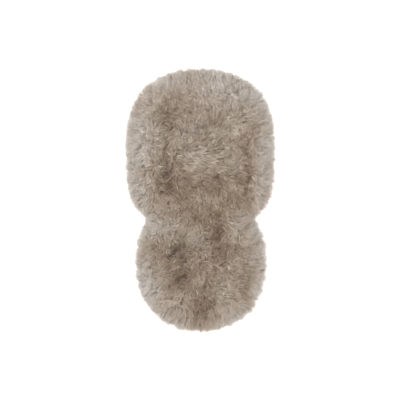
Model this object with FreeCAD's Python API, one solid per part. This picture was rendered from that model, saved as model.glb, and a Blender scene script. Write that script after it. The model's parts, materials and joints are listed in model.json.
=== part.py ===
"""Sheepskin pushchair liner: wool-on-hide panels, sewn together, with slots for the harness.

Row frame: +Z up out of the wool, +Y towards the head end, +X to the right when seen from above.
The origin is under the middle of the liner, on the surface that it lies on. Millimetres.
"""

import FreeCAD
import Part
import math
import os

Vector = FreeCAD.Vector

# --- Driving dimensions: the wool's outline, seen from above ---
LENGTH = 760.0
BACK_HALF_WIDTH = 216.0
BACK_CENTRE_Y = 165.0
BACK_CROWN_POWER = 2.3      # roundness of the head end
BACK_BASE_POWER = 4.0       # squarer corners above the waist
SEAT_HALF_WIDTH = 188.0
SEAT_CENTRE_Y = -190.0
SEAT_FRONT_POWER = 2.1
SEAT_BASE_POWER = 2.3
WAIST_HALF_WIDTH = 153.0

# --- Layers, from the floor up ---
BINDING_SKIN = 0.8          # binding tape under the hide
HIDE_THICKNESS = 2.0
BINDING_TOP_SKIN = 0.6
PILE_HEIGHT = 35.0
HIDE_BOTTOM = BINDING_SKIN
HIDE_TOP = HIDE_BOTTOM + HIDE_THICKNESS
HINGE_Z = HIDE_BOTTOM + HIDE_THICKNESS / 2

# --- The hide and its binding, inside the wool's outline ---
WOOL_OVERHANG = 22.0
BINDING_WIDTH = 10.0
BINDING_WALL = 0.8

# --- Seams and fold lines ---
WAIST_Y = -51.0
HEAD_SEAM_Y = 172.0
FRONT_FOLD_Y = -300.0
WING_SEAM_X = 118.0
SEAM_GAP = 3.0
THREAD_RADIUS = 0.6
TAPE_WIDTH = 22.0
TAPE_CLEARANCE = 0.3        # between the tape's loose half and the panel above it
SEAM_END_CLEARANCE = 2.0

# --- Largest upward fold at each seam, degrees ---
BACK_FOLD = 85.0
HEAD_FOLD = 35.0
WING_FOLD = 50.0
FRONT_FOLD = 60.0
BEVEL_MARGIN = 1.0

# --- Wing ends: a dart at the head end and a slanted cut at the waist end ---
WING_TOP_Y = 170.0
WING_TOP_SLOPE = -0.26
WING_BASE_LIFT = 11.0
WING_BASE_SLOPE = 0.74

# --- Harness slots: name, node of the panel, centre, runs along X or Y ---
SLOT_LENGTH = 50.0
SLOT_WIDTH = 8.0
PILE_SLOT_MARGIN = 2.0
FACING_RIM = 9.0
FACING_DEPTH = 0.6
SLOTS = [
    ("shoulder_slot_facing_lower_left", "back", -50.0, 142.0, "x"),
    ("shoulder_slot_facing_lower_right", "back", 50.0, 142.0, "x"),
    ("shoulder_slot_facing_upper_left", "head", -50.0, 214.0, "x"),
    ("shoulder_slot_facing_upper_right", "head", 50.0, 214.0, "x"),
    ("lap_slot_facing_left", "seat", -112.0, -112.0, "y"),
    ("lap_slot_facing_right", "seat", 112.0, -112.0, "y"),
    ("crotch_slot_facing", "seat", 0.0, -246.0, "y"),
]

# --- Care label under the back panel ---
LABEL_WIDTH, LABEL_LENGTH, LABEL_THICKNESS = 30.0, 48.0, 0.3
LABEL_Y = 40.0

# --- Building blocks ---
FAR = 400.0                 # beyond every edge of the liner
BLOCK_LOW = -5.0            # below and above everything
BLOCK_HIGH = 60.0
OUTLINE_POINTS = 64
SMALLEST_SOLID = 1.0        # cubic millimetres; anything less is a sliver
# Height above the hide and inset from the outline, for each level of the rounded wool.
PILE_LEVELS = [(0.0, 17.0), (0.28, 3.0), (0.5, 0.0), (0.75, 5.0), (0.93, 17.0), (1.0, 36.0)]


def waist_side_height(half_width, centre_y, power, inset):
    """Half height of a lobe on its waist side, where its outline meets the other lobe's."""
    share = (WAIST_HALF_WIDTH - inset) / (half_width - inset)
    return abs(centre_y - WAIST_Y) / (1 - share**power) ** (1 / power)


def lobe(name, inset):
    """A lobe's centre and half width, then the height and power of its upper and lower half."""
    if name == "back":
        waist = waist_side_height(BACK_HALF_WIDTH, BACK_CENTRE_Y, BACK_BASE_POWER, inset)
        upper = (LENGTH / 2 - BACK_CENTRE_Y - inset, BACK_CROWN_POWER)
        return BACK_CENTRE_Y, BACK_HALF_WIDTH - inset, upper, (waist, BACK_BASE_POWER)
    waist = waist_side_height(SEAT_HALF_WIDTH, SEAT_CENTRE_Y, SEAT_BASE_POWER, inset)
    lower = (LENGTH / 2 + SEAT_CENTRE_Y - inset, SEAT_FRONT_POWER)
    return SEAT_CENTRE_Y, SEAT_HALF_WIDTH - inset, (waist, SEAT_BASE_POWER), lower


def lobe_wire(name, inset, z):
    """The lobe's outline: two half superellipses that share their widest line."""
    centre_y, half_width, upper, lower = lobe(name, inset)
    points = []
    for i in range(OUTLINE_POINTS):
        angle = 2 * math.pi * i / OUTLINE_POINTS
        height, power = upper if math.sin(angle) >= 0 else lower
        across = abs(math.cos(angle) / half_width) ** power
        along = abs(math.sin(angle) / height) ** power
        radius = (across + along) ** (-1 / power)
        points.append(Vector(radius * math.cos(angle), centre_y + radius * math.sin(angle), z))
    curve = Part.BSplineCurve()
    curve.interpolate(Points=points, PeriodicFlag=True)
    return Part.Wire([curve.toShape()])


def lobe_slab(name, inset, z_low, z_high):
    """The lobe's outline as a flat slab."""
    return Part.Face(lobe_wire(name, inset, z_low)).extrude(Vector(0, 0, z_high - z_low))


def lobe_pile(name):
    """The wool over one lobe: a low cushion with a rounded rim."""
    sections = []
    for share, inset in PILE_LEVELS:
        sections.append(lobe_wire(name, inset, HIDE_TOP + share * PILE_HEIGHT))
    return Part.makeLoft(sections, True, False)


def plan_prism(points):
    """A vertical prism over a polygon of (x, y) points."""
    corners = [Vector(x, y, BLOCK_LOW) for x, y in points]
    face = Part.Face(Part.makePolygon(corners + corners[:1]))
    return face.extrude(Vector(0, 0, BLOCK_HIGH - BLOCK_LOW))


def mirrored(points):
    """The same polygon on the other side of the YZ plane."""
    return [(-x, y) for x, y in reversed(points)]


def full_width(y_low, y_high):
    """A rectangle right across the liner."""
    return [(-FAR, y_low), (FAR, y_low), (FAR, y_high), (-FAR, y_high)]


def half_space(normal, point):
    """A very large block on the side of the plane that the normal points to."""
    size = 4 * FAR
    block = Part.makeBox(size, size, size, Vector(-size / 2, -size / 2, 0))
    turn = FreeCAD.Rotation(Vector(0, 0, 1), normal)
    block.Placement = FreeCAD.Placement(point, turn)
    return block


def leaning_plane(seam_point, away, fold):
    """Block that keeps the wool back from a seam, by half of the seam's fold."""
    lean = math.radians(fold / 2 + BEVEL_MARGIN)
    normal = Vector(away.x * math.cos(lean), away.y * math.cos(lean), -math.sin(lean))
    start = seam_point + away * (SEAM_GAP / 2)
    return half_space(normal, start)


def wing_top_y(x, gap=0.0):
    """The wing's head end at a distance x from the middle."""
    return WING_TOP_Y - gap + WING_TOP_SLOPE * (x - WING_SEAM_X)


def wing_base_y(x, gap=0.0):
    """The wing's waist end at a distance x from the middle."""
    return WAIST_Y + WING_BASE_LIFT + gap + WING_BASE_SLOPE * (x - WING_SEAM_X)


def regions():
    """The plan of each panel, as one polygon each."""
    half = SEAM_GAP / 2
    wing_start, back_end = WING_SEAM_X + half, WING_SEAM_X - half
    wing = [
        (wing_start, wing_base_y(wing_start)),
        (FAR, wing_base_y(FAR)),
        (FAR, wing_top_y(FAR)),
        (wing_start, wing_top_y(wing_start)),
    ]
    back_edge = [
        (FAR, WAIST_Y + half),
        (FAR, wing_base_y(FAR, -SEAM_GAP)),
        (back_end, wing_base_y(back_end, -SEAM_GAP)),
        (back_end, HEAD_SEAM_Y - half),
    ]
    return {
        "front": full_width(-FAR, FRONT_FOLD_Y - half),
        "seat": full_width(FRONT_FOLD_Y + half, WAIST_Y - half),
        "back": back_edge + mirrored(back_edge),
        "head": full_width(HEAD_SEAM_Y + half, FAR),
        "wing_right": wing,
        "wing_left": mirrored(wing),
    }


def pile_limits(panel):
    """Blocks that lean the wool back from each seam that folds upwards."""
    waist = Vector(0, WAIST_Y, HINGE_Z)
    head = Vector(0, HEAD_SEAM_Y, HINGE_Z)
    front = Vector(0, FRONT_FOLD_Y, HINGE_Z)
    if panel == "front":
        return [leaning_plane(front, Vector(0, -1, 0), FRONT_FOLD)]
    if panel == "seat":
        return [
            leaning_plane(waist, Vector(0, -1, 0), BACK_FOLD),
            leaning_plane(front, Vector(0, 1, 0), FRONT_FOLD),
        ]
    if panel == "back":
        planes = [
            leaning_plane(waist, Vector(0, 1, 0), BACK_FOLD),
            leaning_plane(head, Vector(0, -1, 0), HEAD_FOLD),
        ]
        for side in (-1, 1):
            seam = Vector(side * WING_SEAM_X, 0, HINGE_Z)
            planes.append(leaning_plane(seam, Vector(-side, 0, 0), WING_FOLD))
        return planes
    if panel == "head":
        return [leaning_plane(head, Vector(0, 1, 0), HEAD_FOLD)]
    side = 1 if panel == "wing_right" else -1
    seam = Vector(side * WING_SEAM_X, 0, HINGE_Z)
    head_lean = math.tan(math.radians(HEAD_FOLD / 2 + BEVEL_MARGIN))
    waist_lean = math.tan(math.radians(BACK_FOLD / 2 + BEVEL_MARGIN))
    fold = math.radians(WING_FOLD)
    top = Vector(side * WING_TOP_SLOPE, -1, -head_lean)
    base = Vector(-side * waist_lean * math.sin(fold), 1, -waist_lean * math.cos(fold))
    return [
        leaning_plane(seam, Vector(side, 0, 0), WING_FOLD),
        half_space(top, Vector(side * WING_SEAM_X, WING_TOP_Y, HINGE_Z)),
        half_space(base, Vector(side * WING_SEAM_X, WAIST_Y + WING_BASE_LIFT, HINGE_Z)),
    ]


def corner_piles(pile, band):
    """The wool on the back panel's two corners, between the waist and the wings."""
    inner = WING_SEAM_X + SEAM_GAP / 2
    corner = [
        (inner, WAIST_Y + SEAM_GAP / 2),
        (FAR, WAIST_Y + SEAM_GAP / 2),
        (FAR, wing_base_y(FAR, -SEAM_GAP)),
        (inner, wing_base_y(inner, -SEAM_GAP)),
    ]
    plane = leaning_plane(Vector(0, WAIST_Y, HINGE_Z), Vector(0, 1, 0), BACK_FOLD)
    piles = []
    for plan in (corner, mirrored(corner)):
        piles.append(pile.common(plan_prism(plan)).common(plane).cut(band))
    return piles


def slot_prism(x, y, along, margin):
    """A vertical slot with round ends, wider than the webbing's slit by margin all round."""
    radius = SLOT_WIDTH / 2 + margin
    reach = SLOT_LENGTH / 2 + margin - radius
    height = BLOCK_HIGH - BLOCK_LOW
    body = Part.makeBox(2 * reach, 2 * radius, height, Vector(-reach, -radius, BLOCK_LOW))
    for end in (-reach, reach):
        body = body.fuse(Part.makeCylinder(radius, height, Vector(end, 0, BLOCK_LOW)))
    if along == "y":
        body.rotate(Vector(0, 0, 0), Vector(0, 0, 1), 90)
    body.translate(Vector(x, y, 0))
    return body.removeSplitter()


def lobe_binding(name):
    """Tape folded round the edge of a lobe's hide."""
    band = lobe_slab(name, WOOL_OVERHANG, 0.0, HIDE_TOP + BINDING_TOP_SKIN)
    band = band.cut(lobe_slab(name, WOOL_OVERHANG + BINDING_WIDTH, BLOCK_LOW, BLOCK_HIGH))
    return band.cut(lobe_slab(name, WOOL_OVERHANG + BINDING_WALL, HIDE_BOTTOM, HIDE_TOP))


def make_panels(nodes):
    """Each panel's hide, wool and edge binding."""
    lobes = ("back", "seat")
    hides = {name: lobe_slab(name, WOOL_OVERHANG + BINDING_WALL, HIDE_BOTTOM, HIDE_TOP) for name in lobes}
    bindings = {name: lobe_binding(name) for name in lobes}
    piles = {name: lobe_pile(name) for name in lobes}
    for panel, outline in regions().items():
        name = "seat" if panel in ("seat", "front") else "back"
        region = plan_prism(outline)
        hide = hides[name].common(region)
        band = bindings[name].common(region)
        pile = piles[name].common(region).cut(band)
        for plane in pile_limits(panel):
            pile = pile.common(plane)
        for _, owner, x, y, along in SLOTS:
            if owner == panel:
                hide = hide.cut(slot_prism(x, y, along, 0.0))
                pile = pile.cut(slot_prism(x, y, along, PILE_SLOT_MARGIN))
        if panel == "back":
            pile = Part.makeCompound([pile] + corner_piles(piles[name], band))
        nodes[panel + "_hide"] = hide
        nodes[panel + "_pile"] = pile
        nodes[panel + "_binding"] = band


def make_slot_facings(nodes):
    """A suede ring round each slot, sewn to the underside of the hide."""
    for node, _, x, y, along in SLOTS:
        ring = slot_prism(x, y, along, FACING_RIM).cut(slot_prism(x, y, along, 0.0))
        low = HIDE_BOTTOM - FACING_DEPTH
        layer = Part.makeBox(2 * FAR, 2 * FAR, FACING_DEPTH, Vector(-FAR, -FAR, low))
        nodes[node] = ring.common(layer)


def waist_seam_half_length():
    """Half of the hide's width at the waist, inside its binding."""
    centre_y, half_width, (height, power), _ = lobe("seat", WOOL_OVERHANG + BINDING_WIDTH)
    share = (WAIST_Y - centre_y) / height
    return half_width * (1 - share**power) ** (1 / power) - SEAM_END_CLEARANCE


def make_crosswise_seam(nodes, name, y, half_length):
    """Thread line in the gap between two panels, and the tape sewn under the lower panel."""
    length, half = 2 * half_length, TAPE_WIDTH / 2
    start = Vector(-half_length, y, HINGE_Z)
    nodes[name + "_thread"] = Part.makeCylinder(THREAD_RADIUS, length, start, Vector(1, 0, 0))
    sewn = Part.makeBox(length, half, HIDE_BOTTOM, Vector(-half_length, y - half, 0))
    loose_depth = HIDE_BOTTOM - TAPE_CLEARANCE
    loose = Part.makeBox(length, half, loose_depth, Vector(-half_length, y, 0))
    nodes[name + "_tape"] = sewn.fuse(loose)


def make_wing_seam(nodes, side, suffix):
    """The same seam, running lengthwise between the back panel and a wing."""
    low = wing_base_y(WING_SEAM_X) + BINDING_WIDTH
    length, half = WING_TOP_Y - TAPE_WIDTH - low, TAPE_WIDTH / 2
    x = side * WING_SEAM_X
    thread = Part.makeCylinder(THREAD_RADIUS, length, Vector(x, low, HINGE_Z), Vector(0, 1, 0))
    nodes["wing_seam_thread_" + suffix] = thread
    sewn_low, loose_low = (x - half, x) if side > 0 else (x, x - half)
    sewn = Part.makeBox(half, length, HIDE_BOTTOM, Vector(sewn_low, low, 0))
    loose = Part.makeBox(half, length, HIDE_BOTTOM - TAPE_CLEARANCE, Vector(loose_low, low, 0))
    nodes["wing_seam_tape_" + suffix] = sewn.fuse(loose)


def make_label(nodes):
    """A blank care label, flat under the back panel."""
    corner = Vector(-LABEL_WIDTH / 2, LABEL_Y - LABEL_LENGTH / 2, HIDE_BOTTOM - LABEL_THICKNESS)
    nodes["care_label"] = Part.makeBox(LABEL_WIDTH, LABEL_LENGTH, LABEL_THICKNESS, corner)


def build():
    """Every node of the liner, by name."""
    nodes = {}
    make_panels(nodes)
    make_slot_facings(nodes)
    make_crosswise_seam(nodes, "waist_seam", WAIST_Y, waist_seam_half_length())
    make_crosswise_seam(nodes, "head_seam", HEAD_SEAM_Y, WING_SEAM_X - SEAM_GAP)
    make_wing_seam(nodes, -1, "left")
    make_wing_seam(nodes, 1, "right")
    make_label(nodes)
    return nodes


def main():
    os.makedirs("parts", exist_ok=True)
    for old in os.listdir("parts"):
        os.remove(os.path.join("parts", old))
    for name, shape in sorted(build().items()):
        solids = [s for s in shape.Solids if s.Volume > SMALLEST_SOLID]
        whole = solids[0] if len(solids) == 1 else Part.makeCompound(solids)
        print(f"{name}: {len(solids)} solid(s), {whole.Volume / 1000:.1f} cm3, valid {whole.isValid()}")
        whole.exportStep(f"parts/{name}.step")


main()
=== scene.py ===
"""Looks of the sheepskin pushchair liner: combed long wool over a suede hide, seams, slots and binding.

Everything is in metres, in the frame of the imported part: +Z up out of the wool, +Y towards the head end.
"""

import bmesh
import bpy
import json
import math
import numpy as np
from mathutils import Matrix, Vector

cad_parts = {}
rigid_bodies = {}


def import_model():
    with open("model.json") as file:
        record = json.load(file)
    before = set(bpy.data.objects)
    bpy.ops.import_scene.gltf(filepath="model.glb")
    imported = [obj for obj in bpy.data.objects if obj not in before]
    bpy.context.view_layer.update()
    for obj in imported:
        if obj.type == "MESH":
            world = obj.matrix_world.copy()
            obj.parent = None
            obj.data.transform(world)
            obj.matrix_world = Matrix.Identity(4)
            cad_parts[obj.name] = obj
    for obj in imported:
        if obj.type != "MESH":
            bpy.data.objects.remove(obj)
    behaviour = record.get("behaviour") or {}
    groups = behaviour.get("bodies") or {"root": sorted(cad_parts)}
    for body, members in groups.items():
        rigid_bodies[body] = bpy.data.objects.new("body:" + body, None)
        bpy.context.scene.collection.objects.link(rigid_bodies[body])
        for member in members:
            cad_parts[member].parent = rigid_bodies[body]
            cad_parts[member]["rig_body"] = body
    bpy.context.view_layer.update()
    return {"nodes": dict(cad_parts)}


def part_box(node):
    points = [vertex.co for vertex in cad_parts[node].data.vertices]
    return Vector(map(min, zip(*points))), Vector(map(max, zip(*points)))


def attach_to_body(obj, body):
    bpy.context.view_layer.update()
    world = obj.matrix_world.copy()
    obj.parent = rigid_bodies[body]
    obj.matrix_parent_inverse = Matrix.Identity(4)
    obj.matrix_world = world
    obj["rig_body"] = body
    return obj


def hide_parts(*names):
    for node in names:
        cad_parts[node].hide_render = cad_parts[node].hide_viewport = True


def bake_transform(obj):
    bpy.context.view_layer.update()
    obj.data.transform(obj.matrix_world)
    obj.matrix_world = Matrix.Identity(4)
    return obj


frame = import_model()

# --- The wool's outline: two lobes that meet at the waist, as in the part ---
WAIST_Y = -0.051
WAIST_HALF_WIDTH = 0.153
BACK_CENTRE_Y = 0.165
BACK_POWERS = (2.3, 4.0)  # head end, waist end
SEAT_CENTRE_Y = -0.190
SEAT_POWERS = (2.3, 2.1)  # waist end, front end
OUTLINE_STEPS = 400

# --- Seams where the liner folds: where each lies, and the width of the band of wool on either side that makes a piece of its own ---
FRONT_FOLD_Y = -0.300
HEAD_SEAM_Y = 0.172
WING_SEAM_X = 0.118
WING_TOP = (0.1705, -0.13)  # height at the seam, and slope: the middle of the dart at the head end
WING_BASE = (-0.0415, 0.74)  # the slanted cut at the waist end
WIDE_BAND = 0.035
NARROW_BAND = 0.028

# --- The wool ---
STRANDS = 56000
STRANDS_PER_PIECE = 7600
WOOL_SEED = 8
STRAND_STEPS = 4
ALONG = np.linspace(0, 1, STRAND_STEPS + 1)  # a strand's points, from root to tip
STRAND_SIDES = 3
STRAND_TAPER = (0.8, 1.0, 0.85, 0.5, 0.12)
SIDE_GUIDE = (0.31, 0.17, 0.93)  # a direction that no tube keeps to
STRAND_LENGTH = (0.028, 0.042)
STRAND_RADIUS = (0.0005, 0.0010)
WOOL_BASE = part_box("seat_binding")[1][2]
WOOL_CEILING = 0.0455
UNDERWOOL_HEIGHT = 0.022
UNDERWOOL_EDGE = 0.0005
UNDERWOOL_INSET = 0.011
UNDERWOOL_RIM = 0.045
LUMPS = (0.08, 0.03)  # share of the height, and size
RIM_BAND = 0.05
RIM_CROWDING = 2.1
RIM_FALL = 1.6
ROOT_HEIGHT = (0.7, 1.0)  # share of the underwool's height
PARTING_HOLLOW = 0.45
CALM_BAND = 0.085  # the outer wool is more even
SPARE_ROOTS = 3.4  # points tried for each root that is kept
POINTS_AT_ONCE = 4000  # a limit on memory

# Strands that grow out flat under the rim, and hide the base of the underwool from behind.
SKIRT_DEPTH = 0.026
SKIRT_SHARE = 0.35
SKIRT_FALL = -0.15
SKIRT_RISE = (-0.04, 0.06)  # mean and spread
BASE_SHADE = 0.35

# How strands lean, turn and curl. A clump is a tuft of strands that do so together.
CLUMP_SPACING = 0.0085
CLUMP_JITTER = 0.45
CLUMP_LEAN = 0.26
CLUMP_TURN = 0.16
STRAND_TURN = 0.30
SWIRL = 0.70
SWIRL_SIZE = 0.035
DRIFT = 0.30
DRIFT_SIZE = 0.10
PARTING_PUSH = 0.9
RISE = (0.30, 0.14)  # mean and spread
UNCOMBED_RISE = 0.75
RIM_DROP = 0.12
UPRIGHT_SHARE = 0.8
COMBED_SHARE = 0.45
PARTING_SHORTENING = 0.30
ROOT_DEPTH = 0.002
ROOT_JITTER = 0.14
TIP_JITTER = 0.16
CURL_DEPTH = (0.0010, 0.0030)
CURL_JITTER = 0.6
GATHER = (0.1, 0.6)
GATHER_POWER = 1.5
LEVEL_JITTER = (0.002, 0.004)  # at the wool's base and at its ceiling
SCALLOP = 0.0030
SCALLOP_SIZE = 0.018
RIM_DRAW_IN = 0.003
STRAY_SPREAD = 0.0036
STRAY_LIMITS = (-0.008, 0.0095)
SHORTEST_REACH = 0.004

# How much the rim and the calm band take from turning, gathering, width and streaks.
RIM_LESS_TURN = 0.6
RIM_LESS_GATHER = 0.8
RIM_LESS_WIDTH = 0.35
CALM_LESS_TURN = 0.4
CALM_LESS_STREAK = 0.8

# How pale the wool is in the middle, and what the rim, the painted shade of a parting, mottling and the
# tips change.
MIDDLE_TONE = 0.28
RIM_TONE = 0.40
# Painted shade: how much darker the wool is painted in a parting, where the deeper wool lies in shadow.
PARTING_SHADE = 0.22
MOTTLE_TONE = 0.05
MOTTLE_SIZE = 0.045
PALE_BAND = (-0.02, 0.13)
# How much paler each strand is at its tip than at its root: partly the wool's own paler tips, partly
# painted shade lower in the wool.
TIP_PALING_AND_ROOT_SHADE = 0.14
# Streaks of paler and darker strands. Locks are wider strands that stand out more.
CLUMP_STREAK = 0.09
STRAND_STREAK = 0.08
STREAK_HUE = 0.50  # how much of a streak is in the hue, not the brightness
STREAK_GAIN = 1.6
LOCK_SHARE = 0.10
LOCK_WIDENING = 1.8
LOCK_TONE = 0.30
LOCK_LIMITS = (-1.6, 1.0)

# Colours of the wool from the darkest tone to the palest.
WOOL_TINTS = [
    (0.10, (0.235, 0.163, 0.108)),
    (0.40, (0.420, 0.318, 0.228)),
    (0.70, (0.585, 0.502, 0.418)),
    (1.00, (0.728, 0.698, 0.662)),
]

# --- The underside ---
TAPE_COLOUR = (0.235, 0.185, 0.142)
SEWING_FLOOR = 0.0001
TAPE_THICKNESS = 0.0006
TAPE_CELLS = (60, 16)  # along and across
TAPE_STITCH_INSET = 0.003
TAPE_WAVER = (0.0003, 0.012)  # how far an edge wavers, and how often
HERRINGBONE_WIDTH = 0.0035
RIB_PITCH = 0.0013
STITCH_RADIUS = 0.00045
EDGE_STITCHES = (0.0064, 0.0046)  # pitch and length
STITCH_SIDES = 6
STITCH_SHARES = (-0.5, -0.3, 0.3, 0.5)
STITCH_ARCH = (1.2, 0.0, 0.0, 1.2)
STITCH_TAPER = (0.6, 1.0, 1.0, 0.6)
BINDING_ROWS = (0.0245, 0.0300)
FACING_COLOUR = (0.215, 0.155, 0.108)
FACING_STITCH_INSET = 0.0045
FACING_STITCHES = (0.0048, 0.0034)
FACING_STEPS = 72
LABEL_COLOUR = (0.52, 0.49, 0.44)
LABEL_STITCH_INSET = 0.002
LABEL_STITCHES = (0.0030, 0.0021)
SUEDE_COLOUR = (0.285, 0.215, 0.150)
WING_DART_SLOPE = -0.26
CREASE_OVERLAP = 0.0015
CREASE_INSET = 0.001
CREASE_SKIN = 0.0001  # how far the crease lies under the hide's faces

# Each row of these tables starts with the centre x, y and the reach x, y of a soft round spot.
# Brushed directions, and the way the wool is pushed there.
BRUSH_STROKES = [
    (0.00, 0.105, 0.10, 0.050, 0.95, 0.05),
    (0.01, 0.010, 0.10, 0.045, 0.10, -0.8),
    (-0.03, 0.270, 0.11, 0.050, -0.25, 0.5),
    (-0.05, -0.100, 0.08, 0.040, 0.4, 0.4),
    (0.06, -0.090, 0.05, 0.060, 0.2, -0.6),
    (-0.07, -0.220, 0.07, 0.060, -0.4, -0.4),
    (0.08, -0.230, 0.07, 0.060, 0.6, -0.2),
]

# Where the brushed wool lies straightest, and how straight from 0 to 1.
COMBED = [(0.010, 0.125, 0.090, 0.050, 0.75)]

# Partings where the wool lies open, and their depth from 0 to 1, which also sets how much painted shade
# they get.
PARTINGS = [
    (-0.098, 0.200, 0.016, 0.090, 0.40),
    (-0.100, 0.080, 0.018, 0.070, 0.45),
    (0.131, 0.080, 0.008, 0.085, 0.60),
    (0.030, 0.212, 0.020, 0.012, 0.40),
    (-0.085, 0.050, 0.022, 0.030, 0.40),
    (0.047, 0.062, 0.026, 0.014, 0.50),
    (-0.016, -0.038, 0.016, 0.012, 0.40),
    (0.050, -0.085, 0.014, 0.045, 0.45),
    (-0.070, -0.153, 0.026, 0.018, 0.45),
    (-0.045, -0.225, 0.018, 0.020, 0.45),
    (0.122, -0.235, 0.012, 0.030, 0.40),
    (0.004, -0.262, 0.012, 0.024, 0.50),
    (-0.012, -0.315, 0.012, 0.034, 0.45),
    (0.026, -0.310, 0.012, 0.040, 0.45),
]
SLOT_PARTING = (0.026, 0.009, 0.35)  # reach along and across the slot, and depth

# Patches that are partly the wool's own uneven tone and partly painted shade: darker, or paler with
# painted light where the strength is negative.
TONE_AND_SHADE_PATCHES = [
    (-0.112, 0.050, 0.024, 0.060, 0.20),
    (-0.090, 0.235, 0.028, 0.060, 0.20),
    (-0.035, 0.040, 0.060, 0.034, 0.20),
    (0.050, 0.052, 0.040, 0.028, 0.20),
    (0.122, 0.050, 0.024, 0.080, 0.30),
    (0.142, 0.195, 0.014, 0.040, 0.20),
    (0.000, -0.030, 0.140, 0.045, 0.16),
    (0.060, -0.025, 0.034, 0.036, 0.14),
    (0.030, -0.088, 0.034, 0.036, 0.34),
    (0.062, -0.145, 0.034, 0.026, 0.34),
    (-0.070, -0.155, 0.046, 0.028, 0.26),
    (-0.045, -0.212, 0.036, 0.032, 0.34),
    (-0.124, -0.140, 0.018, 0.024, 0.22),
    (0.032, -0.200, 0.024, 0.026, 0.24),
    (0.122, -0.205, 0.030, 0.075, 0.22),
    (0.118, -0.262, 0.016, 0.024, 0.14),
    (0.004, -0.310, 0.032, 0.046, 0.42),
    (-0.030, 0.275, 0.026, 0.040, 0.10),
    (-0.165, 0.300, 0.040, 0.040, 0.14),
    (-0.055, 0.072, 0.030, 0.030, 0.15),
    (0.115, 0.008, 0.045, 0.022, 0.13),
    (0.130, 0.200, 0.022, 0.024, 0.15),
    (0.080, -0.130, 0.022, 0.030, 0.12),
    (0.015, -0.162, 0.024, 0.016, 0.16),
    (-0.105, -0.190, 0.030, 0.020, 0.11),
    (-0.045, -0.297, 0.035, 0.022, 0.18),
    (0.088, -0.285, 0.025, 0.030, 0.09),
    (0.000, 0.330, 0.022, 0.020, 0.15),
    (-0.030, 0.375, 0.060, 0.015, 0.10),
    (-0.112, -0.082, 0.040, 0.022, -0.10),
    (-0.004, -0.116, 0.024, 0.022, -0.30),
    (0.030, 0.012, 0.025, 0.020, -0.11),
    (-0.095, 0.312, 0.032, 0.022, -0.14),
    (0.155, 0.290, 0.025, 0.030, -0.12),
    (-0.020, 0.138, 0.050, 0.022, -0.16),
    (0.030, 0.290, 0.060, 0.040, -0.18),
    (0.010, 0.205, 0.050, 0.020, -0.12),
    (-0.150, 0.150, 0.018, 0.060, -0.14),
    (0.092, 0.088, 0.024, 0.026, -0.22),
    (0.180, 0.140, 0.018, 0.050, -0.12),
    (0.150, -0.265, 0.014, 0.030, -0.20),
    (-0.130, -0.255, 0.030, 0.026, -0.10),
]

# Wool that stands further out of the outline, and how far in metres.
BULGES = [
    (0.195, -0.130, 0.050, 0.080, 0.010),
    (0.150, -0.310, 0.050, 0.060, 0.008),
    (0.175, 0.310, 0.040, 0.040, 0.008),
    (-0.165, 0.320, 0.040, 0.040, 0.005),
    (-0.160, -0.320, 0.050, 0.050, -0.004),
    (0.000, -0.380, 0.050, 0.020, -0.005),
]

# Curlier wool, and how much curlier.
CURLS = [
    (0.125, -0.120, 0.050, 0.060, 1.3),
    (-0.095, 0.120, 0.030, 0.110, 1.0),
]


def noise(places, size, seed, waves=7):
    """Smooth noise about one unit high: a few sine waves of about this size, in seeded directions."""
    rng = np.random.default_rng(seed)
    x, y = places.T[:2]
    total = np.zeros(len(places))
    for _ in range(waves):
        turn, phase = rng.uniform(0, 2 * math.pi, 2)
        rate = 2 * math.pi / (size * rng.uniform(0.6, 1.6))
        total += np.sin(rate * (x * math.cos(turn) + y * math.sin(turn)) + phase)
    return total / math.sqrt(waves)


def smooth(value, low, high):
    """0 below low, 1 above high, and a smooth step between."""
    t = np.clip((value - low) / (high - low), 0.0, 1.0)
    return t * t * (3 - 2 * t)


def unit(vectors):
    """The same directions, one unit long."""
    length = np.linalg.norm(vectors, axis=-1, keepdims=True)
    return vectors / np.maximum(length, 1e-9)


def waist_side(half_width, centre_y, power, inset):
    """Half height of a lobe on its waist side, where its outline meets the other lobe's."""
    share = (WAIST_HALF_WIDTH - inset) / half_width
    return abs(centre_y - WAIST_Y) / (1 - share**power) ** (1 / power)


def lobe_shapes(inset):
    """Centre, half width, and the two half heights and powers of each lobe, drawn in by inset."""
    back_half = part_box("head_pile")[1][0] - inset
    seat_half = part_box("seat_pile")[1][0] - inset
    head_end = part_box("head_pile")[1][1] - BACK_CENTRE_Y - inset
    front_end = SEAT_CENTRE_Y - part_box("front_pile")[0][1] - inset
    back_waist = waist_side(back_half, BACK_CENTRE_Y, BACK_POWERS[1], inset)
    seat_waist = waist_side(seat_half, SEAT_CENTRE_Y, SEAT_POWERS[0], inset)
    return {
        "back": (BACK_CENTRE_Y, back_half, (head_end, back_waist), BACK_POWERS),
        "seat": (SEAT_CENTRE_Y, seat_half, (seat_waist, front_end), SEAT_POWERS),
    }


LOBES = lobe_shapes(0.0)


def lobe_radius(lobe, angle, shapes=LOBES):
    """How far the lobe's outline is from its centre at each angle: two half superellipses."""
    _, half_width, heights, powers = shapes[lobe]
    across, along = np.cos(angle), np.sin(angle)
    height = np.where(along >= 0, heights[0], heights[1])
    power = np.where(along >= 0, powers[0], powers[1])
    return (np.abs(across / half_width) ** power + np.abs(along / height) ** power) ** (-1 / power)


def lobe_points(lobe, shapes=LOBES):
    """Points along the lobe's outline."""
    angle = np.linspace(0, 2 * math.pi, OUTLINE_STEPS, endpoint=False)
    radius = lobe_radius(lobe, angle, shapes)
    return np.stack([radius * np.cos(angle), shapes[lobe][0] + radius * np.sin(angle)], axis=1)


def liner_outline():
    """The whole outline, as points in the XY plane."""
    back, seat = lobe_points("back"), lobe_points("seat")
    return np.concatenate([back[back[:, 1] >= WAIST_Y], seat[seat[:, 1] <= WAIST_Y]])


OUTLINE = liner_outline()


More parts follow.
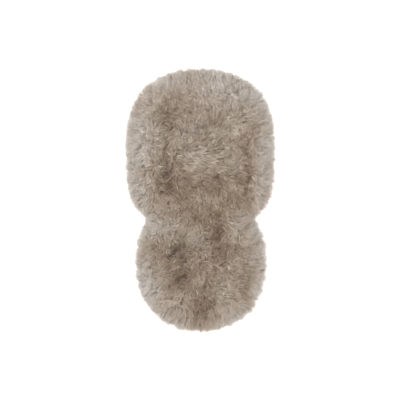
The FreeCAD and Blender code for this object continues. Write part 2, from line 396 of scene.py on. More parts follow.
def nearest_of(points, targets):
    """The number of the target nearest to each point, found for a few thousand points at once."""
    nearest = np.empty(len(points), dtype=int)
    for start in range(0, len(points), POINTS_AT_ONCE):
        part = slice(start, start + POINTS_AT_ONCE)
        gap = points[part, None] - targets[None]
        nearest[part] = (gap**2).sum(axis=2).argmin(axis=1)
    return nearest


def edge_of(xy):
    """How far each point lies inside the outline, and the direction out to its nearest edge."""
    gap = OUTLINE[nearest_of(xy, OUTLINE)] - xy
    return np.linalg.norm(gap, axis=1), unit(gap)


def inside_liner(xy):
    """True for points inside either lobe's outline, on that lobe's side of the waist."""
    inside = np.zeros(len(xy), dtype=bool)
    for lobe in LOBES:
        x, y = xy[:, 0], xy[:, 1] - LOBES[lobe][0]
        in_lobe = np.hypot(x, y) < lobe_radius(lobe, np.arctan2(y, x))
        inside |= in_lobe & in_cell(xy, lobe, [])
    return inside


def corners_of(node):
    """A node's lowest and highest corners at rest, as arrays."""
    return (np.array(corner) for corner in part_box(node))


def all_partings():
    """Every parting, with one at each harness slot."""
    found = list(PARTINGS)
    for name in frame["nodes"]:
        if "facing" in name:
            low, high = corners_of(name)
            along, across, depth = SLOT_PARTING
            crosswise = (high - low)[0] > (high - low)[1]
            reach = (along, across) if crosswise else (across, along)
            found.append((*((low + high) / 2)[:2], *reach, depth))
    return found


def spot(xy, place):
    """A soft round spot at a place from one of the tables: 1 at its centre."""
    away = (xy - place[:2]) / place[2:4]
    return np.exp(-(away[:, 0] ** 2) - away[:, 1] ** 2)


def spots(xy, places):
    """The sum of soft round spots at each point, each times the last value of its place."""
    return sum(place[4] * spot(xy, place) for place in places)


def openness(xy):
    """How far the wool is parted at each point, from 0 to 1, and which way it leans there."""
    depth = np.zeros(len(xy))
    push = np.zeros((len(xy), 2))
    for place in all_partings():
        weight = place[4] * spot(xy, place)
        depth = np.maximum(depth, weight)
        reach = np.array(place[2:4])
        push += weight[:, None] * ((xy - place[:2]) / reach / reach) * reach.min()
    return depth, push


def above(y):
    """The half plane on the head side of a line across the liner."""
    return (0.0, 1.0, y)


def below(y):
    """The half plane on the front side of a line across the liner."""
    return (0.0, -1.0, -y)


def beyond(side, x):
    """The half plane further out than x, on one side of the liner."""
    return (side, 0.0, x)


def within(side, x):
    """The half plane nearer the middle than x, on one side of the liner."""
    return (-side, 0.0, -x)


def over_cut(side, cut):
    """The half plane above a slanted cut of a wing."""
    height, slope = cut
    return (-slope * side, 1.0, height - slope * WING_SEAM_X)


def under_cut(side, cut):
    """The half plane below a slanted cut of a wing."""
    x, y, limit = over_cut(side, cut)
    return (-x, -y, -limit)


def wool_cells():
    """The plan of the wool: for each piece, its bodies and its cells, each a lobe and half planes."""
    front_high, seat_low = FRONT_FOLD_Y - WIDE_BAND, FRONT_FOLD_Y + WIDE_BAND
    seat_high, back_low = WAIST_Y - WIDE_BAND, WAIST_Y + WIDE_BAND
    back_high, head_low = HEAD_SEAM_Y - NARROW_BAND, HEAD_SEAM_Y + NARROW_BAND
    wing_start, wing_end = WING_SEAM_X - NARROW_BAND, WING_SEAM_X + NARROW_BAND
    middle = [within(1, wing_start), within(-1, wing_start)]
    waist = [("seat", [above(seat_high), below(WAIST_Y)]), ("back", [above(WAIST_Y), below(back_low)])]
    cells = {
        "seat": (["seat"], [("seat", [above(seat_low), below(seat_high)])]),
        "front": (["front"], [("seat", [below(front_high)])]),
        "front_fold": (["seat", "front"], [("seat", [above(front_high), below(seat_low)])]),
        "waist_seam": (["seat", "back"], waist),
        "back": (["back"], [("back", [above(back_low), below(back_high)] + middle)]),
        "head_seam": (["back", "head"], [("back", [above(back_high), below(head_low)] + middle)]),
        "head": (["head"], [("back", [above(head_low)])]),
    }
    for side, name in ((-1, "left"), (1, "right")):
        base, top = over_cut(side, WING_BASE), under_cut(side, WING_TOP)
        corner = [above(back_low), beyond(side, wing_start), under_cut(side, WING_BASE)]
        cells["back"][1].append(("back", corner))
        temple = [beyond(side, wing_start), over_cut(side, WING_TOP), below(head_low)]
        cells["head"][1].append(("back", temple))
        seam = [above(back_low), beyond(side, wing_start), within(side, wing_end), base, top]
        cells[f"wing_seam_{name}"] = (["back", f"wing_{name}"], [("back", seam)])
        wing = [above(back_low), beyond(side, wing_end), base, top]
        cells[f"wing_{name}"] = ([f"wing_{name}"], [("back", wing)])
    return cells


def attach(obj, bodies):
    """The object rides on its body; between two bodies it is left in place with its transform applied."""
    if len(bodies) == 1:
        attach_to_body(obj, bodies[0])
    else:
        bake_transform(obj)


def add_object(name, data):
    """A mesh, light or camera as an object in the scene."""
    obj = bpy.data.objects.new(name, data)
    bpy.context.scene.collection.objects.link(obj)
    return obj


def underwool_height(xy):
    """How high the matted underwool stands over the binding at each point."""
    depth, _ = edge_of(xy)
    parted, _ = openness(xy)
    inset = np.clip((depth - UNDERWOOL_INSET) / UNDERWOOL_RIM, 0, 1)
    crown = np.sqrt(np.clip(1 - (1 - inset) ** 2, 0, 1))
    share, size = LUMPS
    lumps = 1 + share * noise(xy, size, seed=11)
    return UNDERWOOL_HEIGHT * crown * lumps * (1 - PARTING_HOLLOW * parted)


def wool_tone(xy, edge_depth):
    """How pale the wool is at each point: palest at the rim, darker with painted shade in partings, and
    darker or paler in patches of the wool's own tone mixed with painted shade and light.
    """
    parted, _ = openness(xy)
    pale = 1 - smooth(edge_depth, *PALE_BAND)
    mottle = MOTTLE_TONE * noise(xy, MOTTLE_SIZE, seed=22)
    return MIDDLE_TONE + RIM_TONE * pale - PARTING_SHADE * parted - spots(xy, TONE_AND_SHADE_PATCHES) + mottle


def give_value(mesh, name, values):
    """Stores a value for each vertex, which the wool's materials read by name."""
    stored = mesh.attributes.new(name, "FLOAT", "POINT")
    stored.data.foreach_set("value", values.astype(np.float32))


def lobe_cushion(lobe, turns=180, rings=34):
    """The whole underwool of a lobe as a closed mesh: a crowned top over a flat base."""
    centre = LOBES[lobe][0]
    angle = np.linspace(0, 2 * math.pi, turns, endpoint=False)
    radius = lobe_radius(lobe, angle) - UNDERWOOL_INSET
    shares = np.arange(1, rings + 1) / rings
    reach = radius[None] * shares[:, None]
    xy = np.stack([reach * np.cos(angle), centre + reach * np.sin(angle)], axis=2).reshape(-1, 2)
    xy = np.concatenate([[[0.0, centre]], xy])
    lobe_part = bmesh.new()
    tops = np.column_stack([xy, WOOL_BASE + UNDERWOOL_EDGE + underwool_height(xy)])
    floors = np.column_stack([xy, np.full(len(xy), WOOL_BASE)])
    rims = []
    for places, flip in ((tops, False), (floors, True)):
        verts = [lobe_part.verts.new(place) for place in places]
        rims.append(verts[-turns:])
        for i in range(turns):
            j = (i + 1) % turns
            faces = [(verts[0], verts[1 + i], verts[1 + j])]
            for k in range(rings - 1):
                a, b = 1 + k * turns + i, 1 + k * turns + j
                faces.append((verts[a], verts[a + turns], verts[b + turns], verts[b]))
            for face in faces:
                lobe_part.faces.new(face[::-1] if flip else face)
    rim, foot = rims
    for corners in zip(rim, foot, foot[1:] + foot[:1], rim[1:] + rim[:1]):
        lobe_part.faces.new(corners)
    return lobe_part


def cut_cell(cushion, planes):
    """A copy of a closed mesh cut to the half planes, with its cut sides closed again."""
    cell = cushion.copy()
    for x, y, limit in planes:
        normal = Vector((x, y, 0))
        point = normal * (limit / normal.length_squared)
        geometry = cell.verts[:] + cell.edges[:] + cell.faces[:]
        found = bmesh.ops.bisect_plane(
            cell, geom=geometry, dist=1e-6, plane_co=point, plane_no=normal, clear_inner=True
        )
        edges = [e for e in found["geom_cut"] if isinstance(e, bmesh.types.BMEdge)]
        if edges:
            bmesh.ops.triangle_fill(cell, use_beauty=True, edges=edges)
    return cell


def joined_cells(name, parts, cushions):
    """One mesh of all the cells of a piece, cut from the lobes' cushions."""
    joined = bmesh.new()
    for lobe, planes in parts:
        cell = cut_cell(cushions[lobe], planes)
        scratch = bpy.data.meshes.new("scratch")
        cell.to_mesh(scratch)
        joined.from_mesh(scratch)
        bpy.data.meshes.remove(scratch)
        cell.free()
    bmesh.ops.recalc_face_normals(joined, faces=joined.faces[:])
    mesh = bpy.data.meshes.new(name)
    joined.to_mesh(mesh)
    joined.free()
    mesh.shade_smooth()
    return mesh


def tone_underwool(mesh):
    """Gives the underwool the tone of the wool above it, with painted shade darkening it along its base.
    """
    places = np.array([vertex.co for vertex in mesh.vertices])
    matted = wool_tone(places[:, :2], edge_of(places[:, :2])[0])
    at_base = places[:, 2] < WOOL_BASE + UNDERWOOL_EDGE / 2
    give_value(mesh, "tone", np.where(at_base, matted - BASE_SHADE, matted))


def make_underwool(cells, material):
    """The matted underwool of every piece, cut from the two lobes."""
    cushions = {lobe: lobe_cushion(lobe) for lobe in LOBES}
    for piece, (bodies, parts) in cells.items():
        mesh = joined_cells(piece + "_underwool", parts, cushions)
        tone_underwool(mesh)
        mesh.materials.append(material)
        base = add_object(mesh.name, mesh)
        attach(base, bodies)
        if len(bodies) == 1:
            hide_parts(bodies[0] + "_pile")
    for cushion in cushions.values():
        cushion.free()


def scatter_roots(count, rng):
    """Root points, closer together at the rim, and some for its flat skirt.

    With each comes the way that it grows, its depth inside the outline, and the way to the edge.
    """
    low, high = OUTLINE.min(axis=0), OUTLINE.max(axis=0)
    xy = rng.uniform(low, high, (int(count * SPARE_ROOTS), 2))
    xy = xy[inside_liner(xy)]
    depth, _ = edge_of(xy)
    crowding = 1 + (RIM_CROWDING - 1) * (1 - smooth(depth, UNDERWOOL_INSET, RIM_BAND))
    chance = crowding * (depth > UNDERWOOL_INSET) / RIM_CROWDING
    xy = xy[rng.random(len(xy)) < chance][:count]
    depth, outwards = edge_of(xy)
    fall = RIM_FALL * (1 - smooth(depth, 0.0, UNDERWOOL_INSET + UNDERWOOL_RIM))
    ways = unit(np.column_stack([outwards * fall[:, None], np.ones(len(xy))]))
    height = underwool_height(xy) * rng.uniform(*ROOT_HEIGHT, len(xy))
    skirt = (depth < SKIRT_DEPTH) & (rng.random(len(xy)) < SKIRT_SHARE)
    ways[skirt] = unit(np.column_stack([outwards[skirt], np.full(skirt.sum(), SKIRT_FALL)]))
    height[skirt] = 0.0
    return np.column_stack([xy, WOOL_BASE + height]), ways, depth, outwards


def clump_centres(roots, rng):
    """A jittered grid of clump centres over the roots, and the number of each root's nearest one."""
    low = roots[:, :2].min(axis=0) - CLUMP_SPACING
    high = roots[:, :2].max(axis=0) + CLUMP_SPACING
    xs, ys = np.meshgrid(*(np.arange(low[i], high[i], CLUMP_SPACING) for i in range(2)))
    centres = np.stack([xs.ravel(), ys.ravel()], axis=1)
    centres += rng.uniform(-CLUMP_JITTER, CLUMP_JITTER, centres.shape) * CLUMP_SPACING
    return centres, nearest_of(roots[:, :2], centres)


def brushed(xy, outwards, edge_depth):
    """The way the wool is brushed at each point: strokes inside, outwards at the rim."""
    drift = [noise(xy, DRIFT_SIZE, seed=seed) for seed in (5, 6)]
    flow = DRIFT * np.stack(drift, axis=1) + 0.15 * outwards
    for stroke in BRUSH_STROKES:
        flow += spot(xy, stroke)[:, None] * np.array(stroke[4:])
    rim = 1 - smooth(edge_depth, 0.35 * RIM_BAND, 1.5 * RIM_BAND)
    return flow * (1 - rim)[:, None] + 1.5 * outwards * rim[:, None]


def turned(flat, angle):
    """Directions in the XY plane, each turned by its angle."""
    (x, y), cos, sin = flat.T, np.cos(angle), np.sin(angle)
    return np.stack([x * cos - y * sin, x * sin + y * cos], axis=1)


def combed_way(roots, outwards, edge_depth, rim, clumps, rng):
    """The way each strand lies over: brushed, pushed apart at partings, and swirled."""
    centres, clump = clumps
    _, push = openness(roots[:, :2])
    loose = 1 - spots(roots[:, :2], COMBED)
    tuft = rng.normal(0, CLUMP_LEAN, (len(centres), 2))[clump] * ((1 - rim) * loose)[:, None]
    comb = brushed(roots[:, :2], outwards, edge_depth) + PARTING_PUSH * push + tuft
    swirl = SWIRL * noise(roots, SWIRL_SIZE, seed=41)
    turn = (swirl + rng.normal(0, CLUMP_TURN, len(centres))[clump]) * (1 - RIM_LESS_TURN * rim)
    turn += rng.normal(0, STRAND_TURN, len(roots)) * (1 - CALM_LESS_TURN * calmness(edge_depth))
    return turned(comb, turn * loose)


def calmness(edge_depth):
    """1 in the even wool near the rim, and 0 in the middle."""
    return 1 - smooth(edge_depth, 0.4 * CALM_BAND, CALM_BAND)


def bent_lines(roots, ways, comb, rim, rng):
    """The centre line of each strand: up out of its root, then over the way it is combed."""
    count = len(roots)
    lean = np.clip(np.linalg.norm(comb, axis=1), 0.2, 1.0)
    rise = rng.normal(*RISE, count) + UNCOMBED_RISE * (1 - lean) - RIM_DROP * rim
    rise = np.where(ways[:, 2] < 0, rng.normal(*SKIRT_RISE, count), rise)
    flat = np.column_stack([unit(comb), rise])
    first = UPRIGHT_SHARE * ways + COMBED_SHARE * flat
    first = unit(first + rng.normal(0, ROOT_JITTER, (count, 3)))
    last = unit(flat + rng.normal(0, TIP_JITTER, (count, 3)))
    parted, _ = openness(roots[:, :2])
    length = rng.uniform(*STRAND_LENGTH, count) * (1 - PARTING_SHORTENING * parted)
    line = np.empty((count, len(ALONG), 3))
    line[:, 0] = roots - ROOT_DEPTH * ways
    for k in range(STRAND_STEPS):
        share = (k + 0.5) / STRAND_STEPS
        way = unit((1 - share) * first + share * last)
        line[:, k + 1] = line[:, k] + way * (length / STRAND_STEPS)[:, None]
    return line


def curl_and_gather(line, roots, comb, rim, clumps, rng):
    """Waves the strands sideways, nearly in step in a clump, and draws their tips together."""
    centres, clump = clumps
    comb = unit(comb)
    side = np.stack([-comb[:, 1], comb[:, 0]], axis=1)
    phase = rng.uniform(0, 2 * math.pi, len(centres))[clump] + rng.normal(0, CURL_JITTER, len(roots))
    curl = rng.uniform(*CURL_DEPTH, len(centres))[clump] * (1 + spots(roots[:, :2], CURLS))
    wave = np.sin(2 * math.pi * ALONG[None] + phase[:, None]) - np.sin(phase)[:, None]
    line[:, :, :2] += (curl[:, None] * ALONG[None] * wave)[:, :, None] * side[:, None]
    gather = rng.uniform(*GATHER, len(centres))[clump] * (1 - RIM_LESS_GATHER * rim)
    offset = roots[:, :2] - centres[clump]
    line[:, :, :2] -= offset[:, None] * (gather[:, None] * ALONG[None] ** GATHER_POWER)[:, :, None]


def strand_looks(roots, edge_depth, rim, clumps, rng):
    """The radius of each strand, its tone at each of its points, and its brightness."""
    count = len(roots)
    centres, clump = clumps
    curly = 1 + spots(roots[:, :2], CURLS)
    evenness = 1 - CALM_LESS_STREAK * calmness(edge_depth)
    locks = rng.random(count) < LOCK_SHARE * evenness * curly
    streak = rng.normal(0, CLUMP_STREAK, len(centres))[clump] + rng.normal(0, STRAND_STREAK, count)
    streak += LOCK_TONE * np.clip(rng.normal(0, 1, count), *LOCK_LIMITS) * locks
    streak *= evenness
    tone = wool_tone(roots[:, :2], edge_depth) + STREAK_HUE * streak
    # Paler towards the tip: partly the wool's own tips, partly painted shade on the lower part of each
    # strand.
    tones = tone[:, None] + TIP_PALING_AND_ROOT_SHADE * ALONG[None]
    shades = np.exp(STREAK_GAIN * (1 - STREAK_HUE) * streak)
    radius = rng.uniform(*STRAND_RADIUS, count) * (1 - RIM_LESS_WIDTH * rim)
    return radius * np.where(locks, LOCK_WIDENING, 1.0), tones, shades


def grow(roots, ways, edge_depth, outwards, rng):
    """The centre line of each strand, its radius, its tone along its length, and its brightness."""
    rim = 1 - smooth(edge_depth, 0.3 * RIM_BAND, RIM_BAND)
    clumps = clump_centres(roots, rng)
    comb = combed_way(roots, outwards, edge_depth, rim, clumps, rng)
    line = bent_lines(roots, ways, comb, rim, rng)
    curl_and_gather(line, roots, comb, rim, clumps, rng)
    limit_reach(line, roots, outwards, edge_depth, rng)
    ceiling = WOOL_CEILING - LEVEL_JITTER[1] * rng.random((len(roots), 1))
    floor = WOOL_BASE - LEVEL_JITTER[0] * rng.random((len(roots), 1))
    line[:, :, 2] = np.maximum(np.minimum(line[:, :, 2], ceiling), floor)
    return line, *strand_looks(roots, edge_depth, rim, clumps, rng)


def limit_reach(line, roots, outwards, edge_depth, rng):
    """Draws in the strands that would stand too far out of the outline."""
    scallop = SCALLOP * noise(roots, SCALLOP_SIZE, seed=31)
    stray = scallop - RIM_DRAW_IN + rng.exponential(STRAY_SPREAD, len(roots))
    reach = ((line[:, -1, :2] - roots[:, :2]) * outwards).sum(axis=1)
    room = edge_depth + np.clip(stray, *STRAY_LIMITS) + spots(roots[:, :2], BULGES)
    share = np.where(reach > room, np.maximum(room, SHORTEST_REACH) / np.maximum(reach, 1e-6), 1.0)
    line[:, :, :2] = roots[:, None, :2] + (line[:, :, :2] - roots[:, None, :2]) * share[:, None, None]


def tube_faces(points, sides):
    """Triangles of one closed tube: bands between its rings, and a cap at each end."""
    faces = []
    for k in range(points - 1):
        for i in range(sides):
            a, b = k * sides + i, k * sides + (i + 1) % sides
            faces += [[a, b, b + sides], [a, b + sides, a + sides]]
    last = (points - 1) * sides
    for i in range(1, sides - 1):
        faces += [[0, i + 1, i], [last, last + i, last + i + 1]]
    return np.array(faces)


def tubes(name, lines, thick, sides):
    """One mesh of many closed tubes, from their centre lines and the radius at each point."""
    count, points = lines.shape[:2]
    way = unit(np.gradient(lines, axis=1))
    side = unit(np.cross(way, np.array(SIDE_GUIDE)))
    other = np.cross(way, side)
    rings = []
    for i in range(sides):
        turn = 2 * math.pi * i / sides
        rings.append(lines + (math.cos(turn) * side + math.sin(turn) * other) * thick[:, :, None])
    places = np.stack(rings, axis=2).reshape(-1)
    first = points * sides * np.arange(count)
    corners = (tube_faces(points, sides)[None] + first[:, None, None]).reshape(-1)
    mesh = bpy.data.meshes.new(name)
    mesh.vertices.add(count * points * sides)
    mesh.vertices.foreach_set("co", places)
    mesh.loops.add(len(corners))
    mesh.loops.foreach_set("vertex_index", corners.astype(np.int32))
    mesh.polygons.add(len(corners) // 3)
    mesh.polygons.foreach_set("loop_start", np.arange(0, len(corners), 3, dtype=np.int32))
    mesh.update(calc_edges=True)
    mesh.shade_smooth()
    return mesh


def strand_mesh(name, lines, radius, tones, shades):
    """Closed three-sided strands, thin at the tip, that store their tone and brightness."""
    thick = radius[:, None] * np.array(STRAND_TAPER)[None]
    mesh = tubes(name, lines, thick, STRAND_SIDES)
    give_value(mesh, "tone", np.repeat(tones.reshape(-1), STRAND_SIDES))
    give_value(mesh, "shade", np.repeat(shades, STRAND_SIDES * len(ALONG)))
    return mesh


def in_cell(xy, lobe, planes):
    """True for points on the lobe's side of the waist and inside every half plane."""
    inside = (xy[:, 1] >= WAIST_Y) == (lobe == "back")
    for x, y, limit in planes:
        inside &= xy[:, 0] * x + xy[:, 1] * y >= limit
    return inside


def make_wool(cells, material):
    """The long wool, in pieces of a few thousand strands each."""
    rng = np.random.default_rng(WOOL_SEED)
    count = STRANDS
    roots, ways, edge_depth, outwards = scatter_roots(count, rng)
    line, radius, tones, shades = grow(roots, ways, edge_depth, outwards, rng)
    free = np.ones(len(roots), dtype=bool)
    for piece, (bodies, parts) in cells.items():
        own = np.any([in_cell(roots[:, :2], *part) for part in parts], axis=0)
        chosen = np.flatnonzero(own & free)
        free[chosen] = False
        chosen = chosen[np.argsort(roots[chosen, 1])]
        shares = math.ceil(len(chosen) / STRANDS_PER_PIECE)
        for number, part in enumerate(np.array_split(chosen, shares), start=1):
            name = f"{piece}_wool_{number}"
            mesh = strand_mesh(name, line[part], radius[part], tones[part], shades[part])
            mesh.materials.append(material)
            attach(add_object(name, mesh), bodies)


class Shader:
    """A material's nodes, with short calls to add and join them."""

    def __init__(self, name):
        self.material = bpy.data.materials.new(name)
        self.material.use_nodes = True
        self.nodes = self.material.node_tree.nodes
        self.links = self.material.node_tree.links
        self.surface = self.nodes["Principled BSDF"]
        self.coords = self.add("TexCoord").outputs["Object"]

    def add(self, kind, **values):
        """A node of this kind, with these values on its inputs or properties."""
        node = self.nodes.new("ShaderNode" + kind)
        for key, value in values.items():
            if key in node.inputs:
                node.inputs[key].default_value = value
            else:
                setattr(node, key, value)
        return node

    def join(self, start, end):
        """A link from an output to an input."""
        self.links.new(start, end)

    def math(self, operation, *values):
        """A maths node over outputs and plain numbers."""
        node = self.add("Math", operation=operation)
        for socket, value in zip(node.inputs, values):
            if isinstance(value, bpy.types.NodeSocket):
                self.join(value, socket)
            else:
                socket.default_value = value
        return node.outputs["Value"]

    def texture(self, kind, **values):
        """The factor of a procedural texture over the object's coordinates."""
        node = self.add("Tex" + kind, **values)
        self.join(self.coords, node.inputs["Vector"])
        return node.outputs["Fac"]

    def paint(self, colour):
        """Joins a colour to the surface."""
        self.join(colour, self.surface.inputs["Base Color"])

    def bump(self, height, strength, distance):
        """Bumps on the surface, where the height varies."""
        node = self.add("Bump", Strength=strength, Distance=distance)
        self.join(height, node.inputs["Height"])
        self.join(node.outputs["Normal"], self.surface.inputs["Normal"])

    def put(self, values):
        """Sets plain values on the surface's own inputs."""
        for key, value in values.items():
            self.surface.inputs[key].default_value = value

    def ramp(self, factor, stops):
        """A colour ramp over the factor. Stops are position and colour."""
        node = self.add("ValToRGB")
        elements = node.color_ramp.elements
        while len(elements) < len(stops):
            elements.new(0.5)
        for element, (position, colour) in zip(elements, stops):
            element.position = position
            element.color = (*colour, 1)
        self.join(factor, node.inputs["Fac"])
        return node.outputs["Color"]


def tinted(colour, factor):
    """The colour made darker or paler."""
    return tuple(min(1.0, factor * part) for part in colour)


def wool_colour(shader, texture, spread):
    """The tint for the stored tone, varied by a texture."""
    tone = shader.add("Attribute", attribute_name="tone").outputs["Fac"]
    return shader.ramp(shader.math("MULTIPLY_ADD", texture, spread, tone), WOOL_TINTS)


def wool_material():
    """Taupe wool: paler at the tips and the rim, with each strand's own brightness."""
    shader = Shader("long_wool")
    patches = shader.texture("Noise", Scale=14.0, Detail=3.0)
    shade = shader.add("Attribute", attribute_name="shade")
    tint = shader.add("VectorMath", operation="SCALE")
    shader.join(wool_colour(shader, patches, 0.30), tint.inputs[0])
    shader.join(shade.outputs["Fac"], tint.inputs["Scale"])
    shader.paint(tint.outputs["Vector"])
    shader.put({"Roughness": 0.75, "Specular IOR Level": 0.25})
    shader.put({"Sheen Weight": 0.18, "Sheen Roughness": 0.6})
    return shader.material


def underwool_material():
    """Dense matted underwool, seen only between the long strands."""
    shader = Shader("underwool")
    fibre = shader.texture("Noise", Scale=420.0, Detail=6.0, Distortion=1.5)
    shader.paint(wool_colour(shader, fibre, 0.40))
    shader.bump(fibre, 0.7, 0.002)
    shader.put({"Roughness": 0.95})
    return shader.material


def woven_material(name, colour, kind):
    """Cotton herringbone tape whose ribs run crosswise or lengthwise on the liner."""
    shader = Shader(name)
    split = shader.add("SeparateXYZ")
    shader.join(shader.coords, split.inputs["Vector"])
    run, across = "XY" if kind == "cross" else "YX"
    zigzag = shader.math("PINGPONG", split.outputs[across], HERRINGBONE_WIDTH)
    lean = shader.math("ADD", split.outputs[run], zigzag)
    ribs = shader.math("SINE", shader.math("MULTIPLY", lean, 2 * math.pi / RIB_PITCH))
    lift = shader.math("MULTIPLY_ADD", ribs, 0.35, 0.5)
    weave = shader.math("MULTIPLY", lift, shader.texture("Noise", Scale=900.0, Detail=4.0))
    shader.paint(shader.ramp(weave, [(0.05, tinted(colour, 0.6)), (0.6, tinted(colour, 1.3))]))
    shader.bump(weave, 0.6, 0.0006)
    shader.put({"Roughness": 0.85})
    return shader.material


def suede_material(name, colour):
    """Napped suede: brushed patches, fine grain and a soft sheen."""
    shader = Shader(name)
    nap = shader.texture("Noise", Scale=22.0, Detail=5.0, Distortion=1.2)
    grain = shader.texture("Noise", Scale=650.0, Detail=6.0)
    both = shader.math("MULTIPLY_ADD", grain, 0.45, nap)
    stops = [(0.45, tinted(colour, 0.72)), (0.70, colour), (0.95, tinted(colour, 1.18))]
    shader.paint(shader.ramp(both, stops))
    shader.bump(both, 0.5, 0.0008)
    rough = shader.add("MapRange", **{"To Min": 0.82, "To Max": 0.98})
    shader.join(nap, rough.inputs["Value"])
    shader.join(rough.outputs["Result"], shader.surface.inputs["Roughness"])
    shader.put({"Sheen Weight": 0.3})
    return shader.material


def thread_material():
    """Pale waxed thread with its twist."""
    shader = Shader("sewing_thread")
    twist = shader.texture("Wave", Scale=900.0, Distortion=2.0, bands_direction="DIAGONAL")
    shader.paint(shader.ramp(twist, [(0.2, (0.52, 0.45, 0.36)), (0.8, (0.78, 0.71, 0.61))]))
    shader.put({"Roughness": 0.55})
    return shader.material


def stitch_lines(path, pitch, length, height):
    """Short arched stitches along a path of XY points: their centre lines, on the underside."""
    steps = np.linalg.norm(np.diff(path, axis=0), axis=1)
    run = np.concatenate([[0], np.cumsum(steps)])
    starts = np.arange(pitch / 2, run[-1], pitch)
    at = starts[:, None] + length * np.array(STITCH_SHARES)
    x, y = (np.interp(at, run, places) for places in path.T)
    z = height + STITCH_RADIUS * np.tile(STITCH_ARCH, (len(starts), 1))
    return np.stack([x, y, z], axis=2)


def make_stitches(name, lines, material):
    """A row of stitches as one mesh."""
    thick = STITCH_RADIUS * np.tile(STITCH_TAPER, (len(lines), 1))
    mesh = tubes(name, lines, thick, STITCH_SIDES)
    mesh.materials.append(material)
    stitches = add_object(name, mesh)
    return stitches


def panel_at(x, y):
    """The panel whose hide lies at this point, or None in the open darts of the wings."""
    if y < WAIST_Y:
        return "front" if y < FRONT_FOLD_Y else "seat"
    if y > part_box("head_hide")[0][1]:
        return "head"
    side = 1 if x > 0 else -1
    outer = side * x - WING_SEAM_X
    if outer < 0 or y < WING_BASE[0] + WING_BASE[1] * outer:
        return "back"
    dart_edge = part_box("wing_right_hide")[1][1] + WING_DART_SLOPE * outer
    return None if y > dart_edge else ("wing_left" if side < 0 else "wing_right")


def make_binding_stitches(material):
    """Two rows of stitches through the binding, all round each lobe."""
    found = {}
    for inset in BINDING_ROWS:
        shapes = lobe_shapes(inset)
        for lobe in LOBES:
            path = lobe_points(lobe, shapes)
            path = np.concatenate([path, path[:1]])
            for line in stitch_lines(path, *EDGE_STITCHES, SEWING_FLOOR):
                own_side = (line[1, 1] >= WAIST_Y) == (lobe == "back")
                first, last = panel_at(*line[0, :2]), panel_at(*line[-1, :2])
                if own_side and first and first == last:
                    found.setdefault(first, []).append(line)
    for panel, lines in found.items():
        stitches = make_stitches(panel + "_binding_stitches", np.array(lines), material)
        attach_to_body(stitches, panel)


def make_slot_stitches(material):
    """A ring of stitches through the suede facing round each harness slot."""
    for name, node in sorted(frame["nodes"].items()):
        if "facing" not in name:
            continue
        low, high = corners_of(name)
        middle = (low + high)[:2] / 2
        half = (high - low)[:2] / 2 - FACING_STITCH_INSET
        radius = half.min()
        straight = half - radius
        angle = np.linspace(0, 2 * math.pi, FACING_STEPS + 1)
        ring = np.stack([np.cos(angle), np.sin(angle)], axis=1)
        path = middle + ring * radius + np.sign(np.round(ring, 6)) * straight
        lines = stitch_lines(path, *FACING_STITCHES, low[2])
        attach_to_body(make_stitches(name + "_stitches", lines, material), node["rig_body"])


def tape_mesh(name, low, high, cells):
    """A thin flat tape between two corners, divided into cells, with slightly uneven long edges."""
    xs = np.linspace(low[0], high[0], cells[0] + 1)
    ys = np.linspace(low[1], high[1], cells[1] + 1)
    grid_x, grid_y = np.meshgrid(xs, ys, indexing="ij")
    xy = np.column_stack([grid_x.ravel(), grid_y.ravel()])
    reach, size = TAPE_WAVER
    edge = reach * noise(xy, size, seed=61)
    middle, half = (low + high) / 2, (high - low) / 2
    narrow = 0 if half[0] < half[1] else 1
    xy[:, narrow] += edge * (xy[:, narrow] - middle[narrow]) / half[narrow]
    tape = bmesh.new()
    layers = []
    for z in (low[2], high[2]):
        layers.append([tape.verts.new((x, y, z)) for x, y in xy])
    at = np.arange(len(xy)).reshape(grid_x.shape)
    for corners in zip(at[:-1, :-1].flat, at[1:, :-1].flat, at[1:, 1:].flat, at[:-1, 1:].flat):
        tape.faces.new([layers[1][k] for k in corners])
        tape.faces.new([layers[0][k] for k in corners[::-1]])
    rim = np.concatenate([at[:, 0], at[-1, 1:], at[-2::-1, -1], at[0, -2:0:-1]])
    for a, b in zip(rim, np.roll(rim, -1)):
        tape.faces.new([layers[0][a], layers[0][b], layers[1][b], layers[1][a]])
    mesh = bpy.data.meshes.new(name)
    bmesh.ops.recalc_face_normals(tape, faces=tape.faces[:])
    tape.to_mesh(mesh)
    tape.free()
    return mesh


def tape_rows(low, high, run):
    """A row of stitches along each long edge of a tape that runs along this axis."""
    across = 1 - run
    rows = []
    for edge in (low[across] + TAPE_STITCH_INSET, high[across] - TAPE_STITCH_INSET):
        path = np.array([low[:2], high[:2]])
        path[:, across] = edge
        path[:, run] += [TAPE_STITCH_INSET, -TAPE_STITCH_INSET]
        rows.append(stitch_lines(path, *EDGE_STITCHES, SEWING_FLOOR))
    return np.concatenate(rows)


def make_seam_tapes(thread):
    """The tape under each seam with its two rows of stitches, left in place with their transforms applied.
    """
    weaves = [woven_material(f"tape_{kind}wise", TAPE_COLOUR, kind) for kind in ("cross", "length")]
    seams = {
        "waist_seam_tape": ("seat", "back"),
        "head_seam_tape": ("back", "head"),
        "wing_seam_tape_left": ("back", "wing_left"),
        "wing_seam_tape_right": ("back", "wing_right"),
    }
    for node, (parent, child) in seams.items():
        low, high = corners_of(node)
        low[2], high[2] = SEWING_FLOOR, SEWING_FLOOR + TAPE_THICKNESS
        size = high - low
        run = 0 if size[0] > size[1] else 1
        across = 1 - run
        mesh = tape_mesh(node + "_cloth", low, high, (TAPE_CELLS[run], TAPE_CELLS[across]))
        mesh.materials.append(weaves[run])
        tape = add_object(mesh.name, mesh)
        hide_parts(node)
        middle, half = (low + high) / 2, np.zeros(3)
        half[across] = size[across] / (-2 if node.endswith("left") else 2)
        stitches = make_stitches(node + "_stitches", tape_rows(low, high, run), thread)
        for piece in (tape, stitches):
            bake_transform(piece)


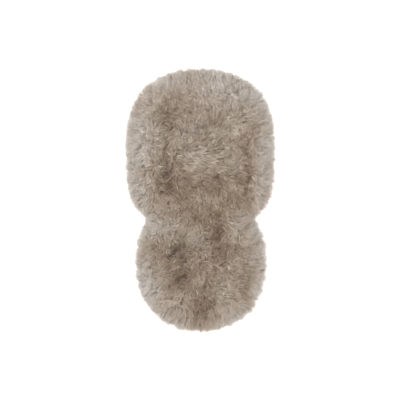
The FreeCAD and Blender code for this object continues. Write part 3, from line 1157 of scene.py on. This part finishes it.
def make_label(thread):
    """The blank care label: a woven ribbon, sewn down all round."""
    low, high = corners_of("care_label")
    mesh = tape_mesh("care_label_ribbon", low, high, (14, 22))
    mesh.materials.append(woven_material("label_ribbon", LABEL_COLOUR, "cross"))
    label = add_object(mesh.name, mesh)
    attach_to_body(label, "back")
    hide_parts("care_label")
    a, b = low[:2] + LABEL_STITCH_INSET, high[:2] - LABEL_STITCH_INSET
    path = np.array([a, (b[0], a[1]), b, (a[0], b[1]), a])
    lines = stitch_lines(path, *LABEL_STITCHES, low[2])
    stitches = make_stitches("care_label_stitches", lines, thread)
    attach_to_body(stitches, "back")


def make_front_crease(suede):
    """The crease of the hide at the front fold, where the seat runs on into the front."""
    hide_low, hide_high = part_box("seat_hide")
    front_x, front_y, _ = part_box("front_hide")[1]
    half = CREASE_OVERLAP + (hide_low[1] - front_y) / 2
    line = (hide_low[1] + front_y) / 2
    reach = front_x - CREASE_INSET
    low = np.array([-reach, line - half, hide_low[2] + CREASE_SKIN])
    high = np.array([reach, line + half, hide_high[2] - CREASE_SKIN])
    mesh = tape_mesh("front_crease", low, high, (60, 6))
    mesh.materials.append(suede)
    crease = add_object("front_crease", mesh)
    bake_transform(crease)


def dress_cad_nodes(suede, thread):
    """Materials for the CAD nodes that stay: hides, facings, bindings and seam threads."""
    materials = {
        "facing": suede_material("facing_suede", FACING_COLOUR),
        "binding": woven_material("binding_tape", TAPE_COLOUR, "cross"),
        "hide": suede,
    }
    for name, node in frame["nodes"].items():
        material = next((materials[kind] for kind in materials if kind in name), thread)
        node.data.materials.clear()
        node.data.materials.append(material)


def make_underside():
    """Everything on the suede side of the hide."""
    suede = suede_material("suede", SUEDE_COLOUR)
    thread = thread_material()
    dress_cad_nodes(suede, thread)
    make_seam_tapes(thread)
    make_front_crease(suede)
    make_label(thread)
    make_binding_stitches(thread)
    make_slot_stitches(thread)


def make_floor():
    """A plain pale floor under the liner."""
    size = 12.0
    mesh = bpy.data.meshes.new("floor")
    corners = [(-size, -size, 0), (size, -size, 0), (size, size, 0), (-size, size, 0)]
    mesh.from_pydata(corners, [], [(0, 1, 2, 3)])
    floor = add_object("floor", mesh)
    shader = Shader("floor_white")
    shader.put({"Base Color": (0.93, 0.93, 0.93, 1), "Roughness": 0.9})
    shader.put({"Emission Color": (1, 1, 1, 1), "Emission Strength": 0.45})
    mesh.materials.append(shader.material)


def make_lights():
    """Soft light from all round, a wide soft lamp past the head's left, and a weaker one opposite."""
    world = bpy.data.worlds.new("studio")
    bpy.context.scene.world = world
    world.use_nodes = True
    sky = world.node_tree.nodes["Background"]
    sky.inputs["Color"].default_value = (1.0, 1.0, 1.0, 1)
    sky.inputs["Strength"].default_value = 0.85
    add_lamp("key", (-1.3, 1.2, 2.2), 1.6, 60.0)
    add_lamp("fill", (1.5, -1.0, 2.4), 2.0, 30.0)


def add_lamp(name, place, size, power):
    """A square soft lamp that points at the middle of the liner."""
    light = bpy.data.lights.new(name, "AREA")
    light.size = size
    light.energy = power
    lamp = add_object(name, light)
    lamp.location = place
    lamp.rotation_euler = (-lamp.location).to_track_quat("-Z", "Y").to_euler()


def make_camera():
    """A long lens straight above the liner, with the head end up."""
    lens, sensor, frame_width, wool_middle = 85.0, 36.0, 1.152, 0.02
    data = bpy.data.cameras.new("camera")
    data.lens = lens
    data.sensor_width = sensor
    camera = add_object("camera", data)
    camera.location = (0, 0, wool_middle + frame_width * lens / sensor)
    bpy.context.scene.camera = camera


def main():
    """Builds every piece, the floor, the lights and the camera."""
    bpy.context.scene.view_settings.view_transform = "Standard"
    long_wool = wool_material()
    cells = wool_cells()
    make_underwool(cells, underwool_material())
    make_wool(cells, long_wool)
    make_underside()
    make_floor()
    make_lights()
    make_camera()


main()
